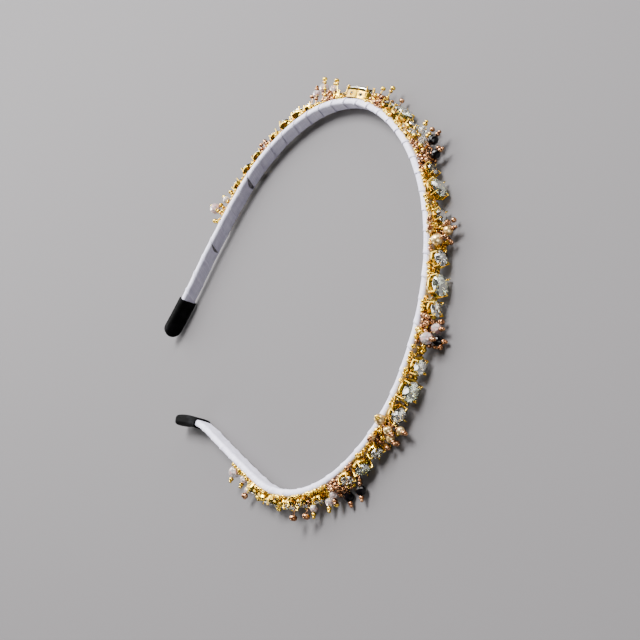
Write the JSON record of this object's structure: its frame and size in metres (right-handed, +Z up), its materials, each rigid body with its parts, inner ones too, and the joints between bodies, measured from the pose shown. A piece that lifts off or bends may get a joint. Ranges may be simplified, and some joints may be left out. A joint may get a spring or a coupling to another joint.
{
  "type": "beaded headband",
  "caption": "Narrow ribbon-wound headband with a row of cut crystals in gold claw cups, beads on short wire stalks along its outer face and black end caps.",
  "frame": {"origin": "middle of the footprint on the surface that the headband lies on", "axes": "+Z up from the surface, +Y towards the top of the head, +X towards leg B, the leg that bends in and then flares at its tip"},
  "size_m": [0.1498, 0.1454, 0.0105],
  "materials": {
    "ribbon": "cool white satin ribbon wound around the band",
    "cap": "matte black",
    "gold": "bright yellow gold plate",
    "crystal": "clear cut crystal",
    "black_glass": "glossy black faceted glass",
    "pearl": "champagne pearl lacquer",
    "frosted_glass": "milky pink and lilac faceted glass",
    "clear_glass": "clear faceted glass",
    "wire": "thin copper-coloured wire"
  },
  "bodies": {
    "root": {"ribbon_band": "ribbon", "end_cap_a": "cap", "end_cap_b": "cap", "claw_cups_leg_a": "gold", "claw_cups_crown": "gold", "claw_cups_side": "gold", "claw_cups_leg_b": "gold", "marquise_cup": "gold", "marquise_crystal": "crystal", "crystal_01": "crystal", "crystal_02": "crystal", "crystal_03": "crystal", "crystal_04": "crystal", "crystal_05": "crystal", "crystal_06": "crystal", "crystal_07": "crystal", "crystal_08": "crystal", "crystal_09": "crystal", "crystal_10": "crystal", "crystal_11": "crystal", "crystal_12": "crystal", "crystal_13": "crystal", "crystal_14": "crystal", "crystal_15": "crystal", "crystal_16": "crystal", "crystal_17": "crystal", "crystals_leg_a": "crystal", "crystals_leg_b": "crystal", "black_bead_1": "black_glass", "black_bead_2": "black_glass", "black_bead_3": "black_glass", "black_bead_4": "black_glass", "black_bead_5": "black_glass", "pearl_1": "pearl", "pearl_2": "pearl", "pearl_3": "pearl", "pearl_4": "pearl", "pearl_5": "pearl", "pearl_6": "pearl", "pearl_7": "pearl", "pearl_8": "pearl", "pearl_9": "pearl", "frosted_bead_1": "frosted_glass", "frosted_bead_2": "frosted_glass", "clear_bead_1": "clear_glass", "clear_bead_2": "clear_glass", "frosted_beads_leg_a": "frosted_glass", "frosted_beads_leg_b": "frosted_glass", "bead_wires": "wire"}
  },
  "joints": []
}
